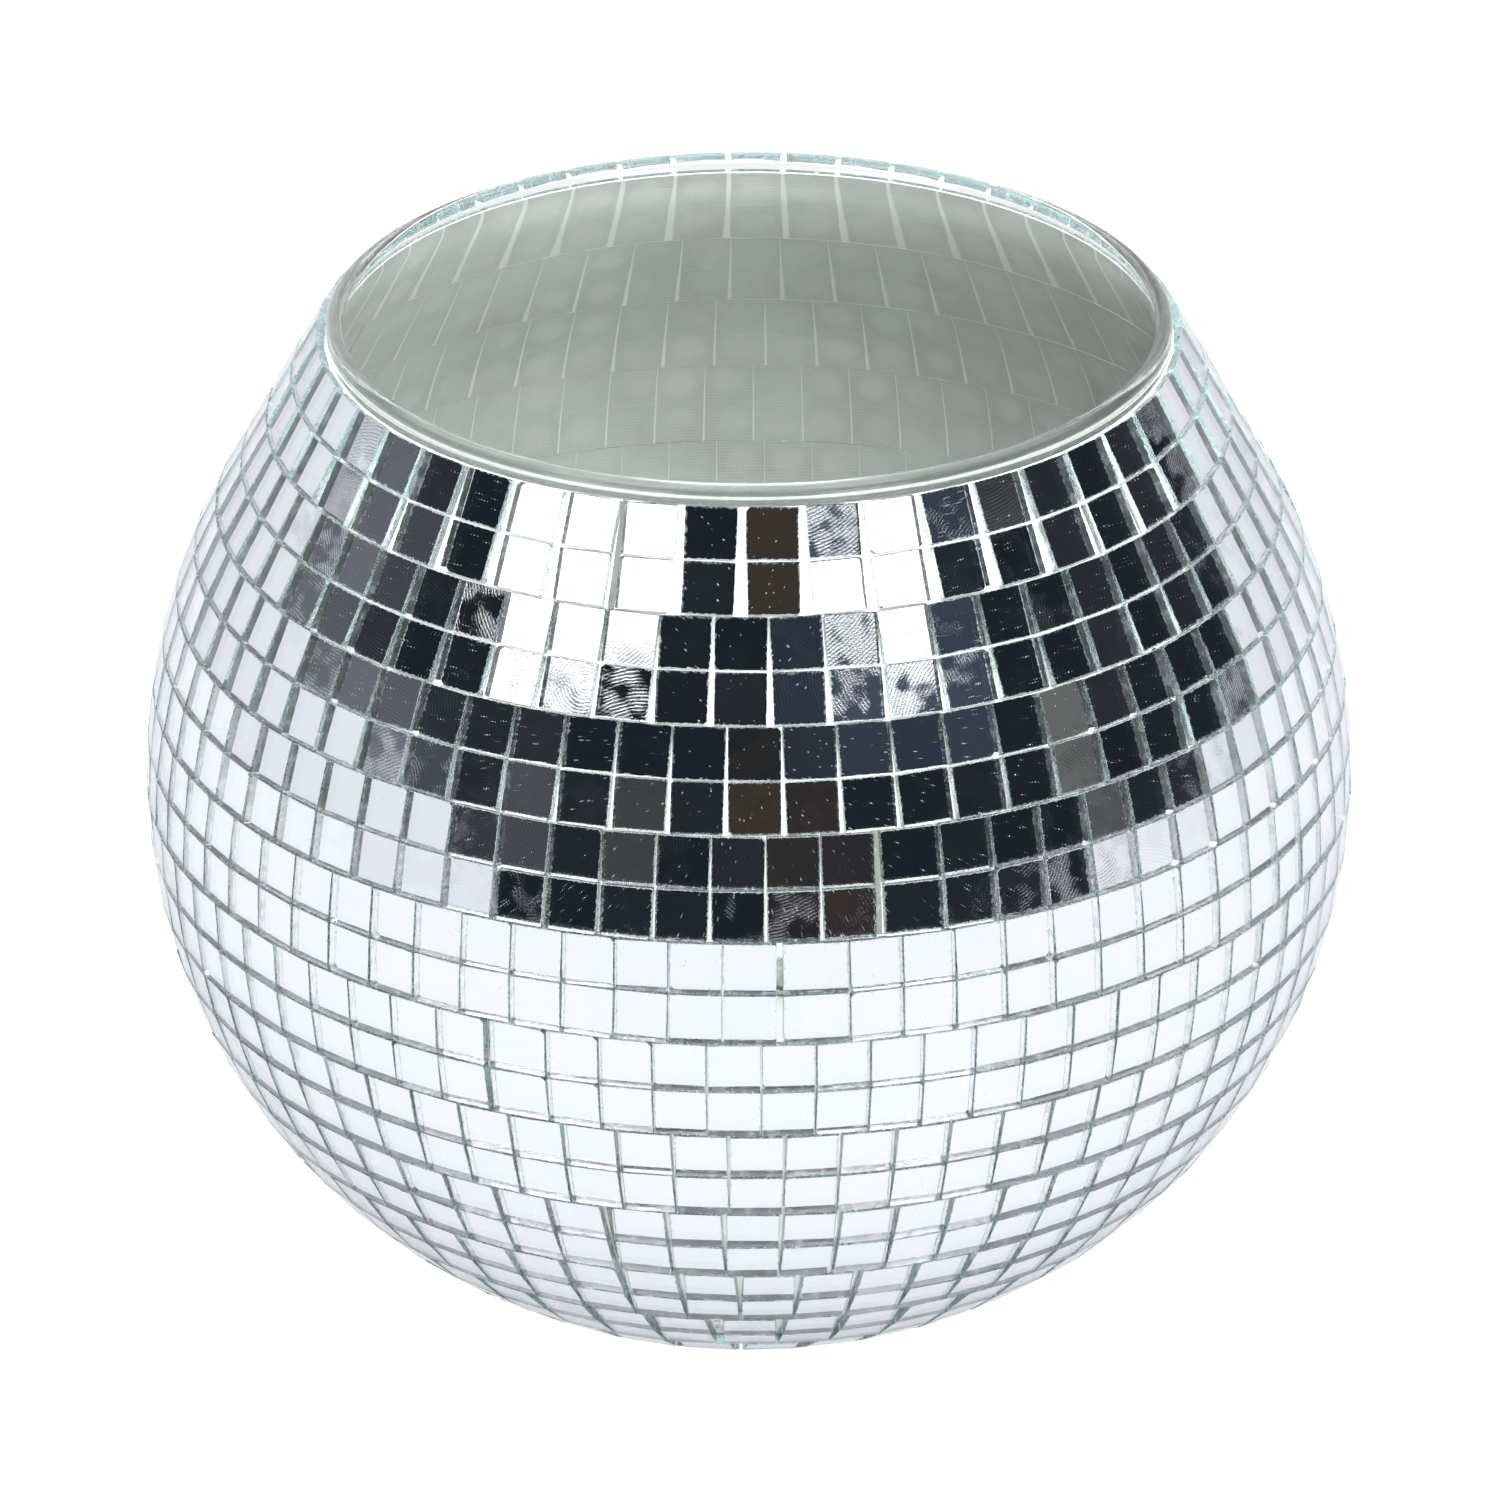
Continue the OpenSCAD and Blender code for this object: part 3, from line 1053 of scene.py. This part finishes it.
class MirrorTiles:
    """The rows of silvered tiles, laid by one geometry tree."""

    def __init__(
        self,
        layout: StripLayout,
        skin: SkinGroup,
        finishes: dict[TileFace, Material],
        seed: int = 11,
        tilt_seed: int = 2274,
    ) -> None:
        """Takes what the tiles are made from.

        Args:
            layout: The strips' layout.
            skin: The bowl's skin as a node group.
            finishes: The material for each kind of face.
            seed: Where the uneven cuts start from.
            tilt_seed: Where the tilts start from.
        """
        self.layout, self.skin, self.finishes = layout, skin, finishes
        self.seed, self.tilt_seed = seed, tilt_seed

    def blanks(self, count: int = 10) -> Collection:
        """Cuts some different tiles and returns their collection."""
        chance = np.random.default_rng(self.seed)
        size = self.layout.tile + self.layout.tile_spare
        rack = bpy.data.collections.new("tile blanks")
        bpy.context.scene.collection.children.link(rack)
        for number in range(count):
            name = f"tile blank {number:02d}"
            mesh = TileBlank(size, self.layout.tile_thick, chance).mesh(name)
            rack.objects.link(bpy.data.objects.new(name, mesh))
        return rack

    def tree(self) -> NodeTree:
        """Returns the tree that lays one row of tiles, the last of them with a width of its own."""
        bench = GroupBench(
            "lay a row of tiles",
            "GeometryNodeTree",
            {
                "Count": "Int",
                "Along": "Float",
                "Sink": "Float",
                "Seam": "Float",
                "First": "Float",
                "Pitch": "Float",
                "Narrow": "Float",
                "Closing Shift": "Float",
                "Closing Scale": "Float",
                "Tilt": "Float",
                "Seed": "Int",
                "Kinds": "Int",
                "Blanks": "Collection",
                "Face": "Material",
                "Edge": "Material",
                "Back": "Material",
            },
            {"Geometry": "Geometry"},
        )
        given = bench.given
        points = bench.add("GeometryNodePoints", {"Count": given["Count"]})
        index = bench.add("GeometryNodeInputIndex").outputs[0]
        last = bench.math("COMPARE", index, bench.minus(given["Count"], 1.0), 0.1)
        length = bench.math("MULTIPLY_ADD", index, given["Pitch"], given["First"])
        length = bench.math("MULTIPLY_ADD", last, given["Closing Shift"], length)
        turn = bench.minus(given["Seam"], bench.math("DIVIDE", length, given["Narrow"]))
        feeds = {"Along": given["Along"], "Depth": given["Sink"], "Turn": turn}
        skin = bench.grouped(self.skin.tree, feeds).outputs
        feeds = {"Geometry": points.outputs[0], "Position": skin["Point"]}
        placed = bench.add("GeometryNodeSetPosition", feeds)

        def random(kind: str, low: Feed, high: Feed, salt: int) -> NodeSocket:
            """Returns a random value for each tile."""
            first, out = {"FLOAT_VECTOR": (0, 0), "INT": (4, 2)}[kind]
            seed = bench.plus(given["Seed"], float(salt))
            feeds = {first: low, first + 1: high, "ID": index, "Seed": seed}
            return bench.add("FunctionNodeRandomValue", feeds, data_type=kind).outputs[out]

        one = random("FLOAT_VECTOR", (-1.0, -1.0, -1.0), (1.0, 1.0, 1.0), 1)
        two = random("FLOAT_VECTOR", (-1.0, -1.0, -1.0), (1.0, 1.0, 1.0), 2)
        tilt = bench.vector("SCALE", bench.vector("ADD", one, two), given["Tilt"])
        roll, pitch, yaw = bench.split(tilt)
        quarter = bench.times(random("INT", 0, 3, 3), math.pi / 2)
        quarter = bench.times(quarter, bench.minus(1.0, last))
        euler = bench.xyz(
            bench.plus(roll, quarter),
            bench.minus(pitch, skin["Lean"]),
            bench.plus(turn, yaw),
        )
        turned = bench.add("FunctionNodeEulerToRotation", {0: euler}).outputs[0]
        rack = bench.add(
            "GeometryNodeCollectionInfo",
            {"Collection": given["Blanks"], "Separate Children": True, "Reset Children": True},
        )
        width = bench.lerp(last, 1.0, given["Closing Scale"])
        laid = bench.add(
            "GeometryNodeInstanceOnPoints",
            {
                "Points": placed.outputs[0],
                "Instance": rack.outputs[0],
                "Pick Instance": True,
                "Instance Index": random("INT", 0, bench.minus(given["Kinds"], 1.0), 4),
                "Rotation": turned,
                "Scale": bench.xyz(1.0, width, 1.0),
            },
        )
        own_tone = random("FLOAT_VECTOR", (0.0, 0.0, 0.0), (1.0, 1.0, 1.0), 5)
        feeds = {"Geometry": laid.outputs[0], "Name": "tile_tone", "Value": own_tone}
        store = "GeometryNodeStoreNamedAttribute"
        toned = bench.add(store, feeds, data_type="FLOAT_VECTOR", domain="INSTANCE")
        flow = bench.add("GeometryNodeRealizeInstances", {"Geometry": toned.outputs[0]}).outputs[0]
        for kind, name in ((TileFace.FRONT, "Face"), (TileFace.CUT, "Edge"), (TileFace.BACK, "Back")):
            stated = bench.add("GeometryNodeInputNamedAttribute", {"Name": "face_kind"}, data_type="INT")
            feeds = {2: stated.outputs[0], 3: kind.value}
            same = bench.add("FunctionNodeCompare", feeds, data_type="INT", operation="EQUAL")
            feeds = {"Geometry": flow, "Selection": same.outputs[0], "Material": given[name]}
            flow = bench.add("GeometryNodeSetMaterial", feeds).outputs[0]
        bench.feed(bench.made["Geometry"], flow)
        return bench.tree

    def build(self) -> list[Object]:
        """Builds and dresses every row.

        Returns:
            The rows' objects.
        """
        layout, tree, rack, made = self.layout, self.tree(), self.blanks(), []
        for k in range(1, layout.rows + 1):
            i = layout.strip_of(k)
            whole, closing = layout.columns(i)
            pitch = layout.column_pitch(i)
            values = {
                "Count": whole + 1,
                "Along": layout.line_s(k - 0.5),
                "Sink": layout.tile_sink,
                "Seam": layout.seam(i),
                "First": layout.seam_gap / 2 + layout.tile / 2,
                "Pitch": pitch,
                "Narrow": layout.narrow_r(i),
                "Closing Shift": (closing - layout.tile) / 2,
                "Closing Scale": closing / layout.tile,
                "Tilt": layout.tilt,
                "Seed": self.tilt_seed * 100 + k * 7,
                "Kinds": len(rack.objects),
                "Blanks": rack,
                "Face": self.finishes[TileFace.FRONT],
                "Edge": self.finishes[TileFace.CUT],
                "Back": self.finishes[TileFace.BACK],
            }
            row = run_tree(f"silvered_tiles_{k:02d}", tree, values)
            settle(row, Slot.TILE, f"tile_row_{k:02d}")
            made.append(row)
        for blank in list(rack.objects):
            mesh = blank.data
            bpy.data.objects.remove(blank)
            bpy.data.meshes.remove(mesh)
        bpy.data.collections.remove(rack)
        return made


# ---------------------------------------------------------------- studio


@dataclass(frozen=True)
class Panel:
    """Something in the room that the tiles reflect, by its direction in degrees."""

    azimuth: float
    half_width: float
    low: float
    high: float
    colour: Colour
    soft: float = 1.2
    slant: float = 0.0
    share: float = 1.0


@dataclass(frozen=True)
class Surroundings:
    """The room round the floor, as the mirrors see it."""

    night: Colour = (0.0125, 0.0175, 0.0245)
    dusk: Colour = (0.030, 0.034, 0.041)
    pale: Colour = (0.90, 0.92, 0.97)
    horizon: tuple[tuple[float, float], ...] = (
        (-180, 5),
        (-125, 9),
        (-62, 9),
        (-50, -4),
        (-44, -7),
        (0, -8),
        (60, -7),
        (108, -3),
        (122, 5),
        (180, 5),
    )
    panels: tuple[Panel, ...] = (
        Panel(4, 4, -12, 40, (0.050, 0.040, 0.029), 1.5),
        Panel(14, 4, -12, 16, (0.055, 0.040, 0.036), 1.5, share=0.8),
        Panel(-20, 3, -2, 22, (0.060, 0.064, 0.064), 1.0),
        Panel(-47, 5, 0, 20, (0.12, 0.12, 0.14), 3.0, share=0.8),
        Panel(68, 4, -6, 24, (0.15, 0.155, 0.15), 1.0),
        Panel(-90, 24, 8, 16, (0.17, 0.18, 0.21), 5.0),
        Panel(32, 20, 23, 70, (0.075, 0.105, 0.155), 5.0, share=0.7),
        Panel(180, 31, 0, 90, (0.80, 0.81, 0.83), 3.0),
        Panel(133, 5, 3, 30, (0.30, 0.31, 0.34), 2.0, share=0.7),
        Panel(-128, 6, 3, 24, (0.26, 0.27, 0.30), 2.5, share=0.7),
        Panel(-92, 30, 31, 90, PALE_WALL, 3.0),
        Panel(92, 30, 31, 90, PALE_WALL, 3.0),
        Panel(0, 200, 42, 200, (0.92, 0.93, 0.95), 3.0),
        Panel(-42, 20, 29.7, 64, FRONT_LAMP, 0.3, slant=0.16),
        Panel(35, 13.5, 30.6, 64, FRONT_LAMP, 0.3, slant=-0.12),
        Panel(172, 24, 30, 60, REAR_LAMP, 0.5),
        Panel(108, 12, 36, 58, SIDE_LAMP, 0.5),
        Panel(-112, 13, 40, 60, SIDE_LAMP, 0.5),
    )

    def colour(self, bench: NodeBench, direction: NodeSocket) -> NodeSocket:
        """Returns the room's colour in a direction.

        Args:
            bench: The world's bench.
            direction: The direction looked in.
        """
        x, y, z = bench.split(direction)
        turn = bench.math("ARCTAN2", x, bench.times(y, -1.0))
        azimuth = bench.math("DEGREES", turn)
        height = bench.math("DEGREES", bench.math("ARCSINE", z))
        spread = bench.xyz(bench.math("SINE", turn), bench.math("COSINE", turn), bench.times(height, 0.018))
        tone = bench.ramp(bench.noise(spread, 5.0, 3.0, 0.6), 0.42, 0.72)
        shade = bench.blend(tone, self.night, self.dusk)
        for panel in self.panels:
            off = bench.math("WRAP", bench.minus(azimuth, panel.azimuth), 180.0, -180.0)
            wide, soft = panel.half_width, panel.soft
            inside = bench.ramp(bench.math("ABSOLUTE", off), wide + soft, wide - soft, 0.0, panel.share)
            level = bench.math("MULTIPLY_ADD", off, -panel.slant, height)
            inside = bench.times(inside, bench.ramp(level, panel.low - soft, panel.low + soft))
            inside = bench.times(inside, bench.ramp(height, panel.high + soft, panel.high - soft))
            shade = bench.blend(inside, shade, panel.colour)
        curve = bench.add("ShaderNodeFloatCurve")
        line = curve.mapping.curves[0]
        places = [((a + 180) / 360, (e + 90) / 180) for a, e in self.horizon]
        for number, place in enumerate(places):
            if number in (0, len(places) - 1):
                line.points[0 if number == 0 else -1].location = place
            else:
                line.points.new(*place)
        for point in line.points:
            point.handle_type = "VECTOR"
        curve.mapping.update()
        bench.feed(curve.inputs["Value"], bench.math("DIVIDE", bench.plus(azimuth, 180.0), 360.0))
        edge = bench.math("MULTIPLY_ADD", curve.outputs[0], 180.0, -90.0)
        above = bench.ramp(bench.minus(height, edge), -0.6, 0.6)
        return bench.blend(above, self.pale, shade)


@dataclass(frozen=True)
class Studio:
    """The floor, the light and the camera."""

    room: Surroundings = field(default_factory=Surroundings)
    key_from: tuple[float, float, float] = (0.25, -0.32, 0.914)
    key: Colour = (11.5, 11.5, 11.4)
    fill: Colour = (1.3, 1.3, 1.31)
    backdrop: Colour = (1.0, 1.0, 1.0)
    floor_r: float = 0.9
    floor_turns: int = 96
    camera_at: tuple[float, float, float] = (0.00017, -1.7789, 0.9716)
    camera_down: float = math.radians(25.94)
    lens: float = 240.0
    sensor: float = 36.0

    def build_world(self) -> None:
        """Lights the scene softly, and shows the room only to the mirrors and the glass."""
        world = bpy.data.worlds.new("studio")
        bpy.context.scene.world = world
        world.use_nodes = True
        world.cycles.sampling_method = "NONE"
        bench = NodeBench(world.node_tree)
        direction = bench.add("ShaderNodeTexCoord").outputs["Generated"]
        path = bench.add("ShaderNodeLightPath").outputs
        seen = bench.math("MAXIMUM", path["Is Glossy Ray"], path["Is Transmission Ray"])
        mirrored = bench.math("GREATER_THAN", path["Glossy Depth"], 0.5)
        straight = bench.math("LESS_THAN", path["Diffuse Depth"], 0.5)
        share = bench.times(bench.times(seen, mirrored), straight)
        towards = bench.vector("DOT_PRODUCT", direction, self.key_from)
        soft = bench.blend(bench.ramp(towards, 0.47, 1.0), self.fill, self.key)
        scattered = bench.math("GREATER_THAN", path["Diffuse Depth"], 0.5)
        plain = bench.blend(scattered, self.backdrop, soft)
        shown = bench.blend(share, plain, self.room.colour(bench, direction))
        bench.feed(world.node_tree.nodes["Background"].inputs["Color"], shown)

    def build_floor(self, finish: Material) -> Object:
        """Lays the round pale floor.

        Args:
            finish: The floor's material.

        Returns:
            The floor's object.
        """
        turns = np.arange(self.floor_turns) * math.tau / self.floor_turns
        rim = [(self.floor_r * math.cos(a), self.floor_r * math.sin(a), 0.0) for a in turns]
        mesh = bpy.data.meshes.new("pale floor")
        mesh.from_pydata(rim, [], [tuple(range(self.floor_turns))])
        mesh.materials.append(finish)
        floor = bpy.data.objects.new("pale floor", mesh)
        bpy.context.scene.collection.objects.link(floor)
        return floor

    def build_camera(self) -> None:
        """Stands the camera in front of the bowl, looking down at it."""
        camera = bpy.data.cameras.new("camera")
        camera.lens, camera.sensor_width = self.lens, self.sensor
        camera.clip_start, camera.clip_end = 0.05, 50.0
        stand = bpy.data.objects.new("camera", camera)
        stand.location = self.camera_at
        stand.rotation_euler = (math.pi / 2 - self.camera_down, 0.0, 0.0)
        bpy.context.scene.collection.objects.link(stand)
        bpy.context.scene.camera = stand

    def build(self) -> None:
        """Builds all of it."""
        self.build_world()
        self.build_floor(TableTop().make())
        self.build_camera()
        bpy.context.scene.view_settings.view_transform = "Standard"


def main() -> None:
    """Builds the bowl from the inside out, and then the studio."""
    logging.basicConfig(level=logging.INFO, format="%(name)s: %(message)s")
    layout = StripLayout()
    shared = Finishes()
    skin = SkinGroup(layout.profile)
    BlownBowl(layout, BlownGlass().make(), GluedGlass().make()).build()
    MeshStrips(layout, skin, GluedMesh().make(shared)).build()
    finishes = {
        TileFace.FRONT: TileGlass().make(shared),
        TileFace.CUT: CutEdge().make(),
        TileFace.BACK: Silvering().make(shared),
    }
    MirrorTiles(layout, skin, finishes).build()
    Studio().build()


if __name__ == "__main__":
    main()
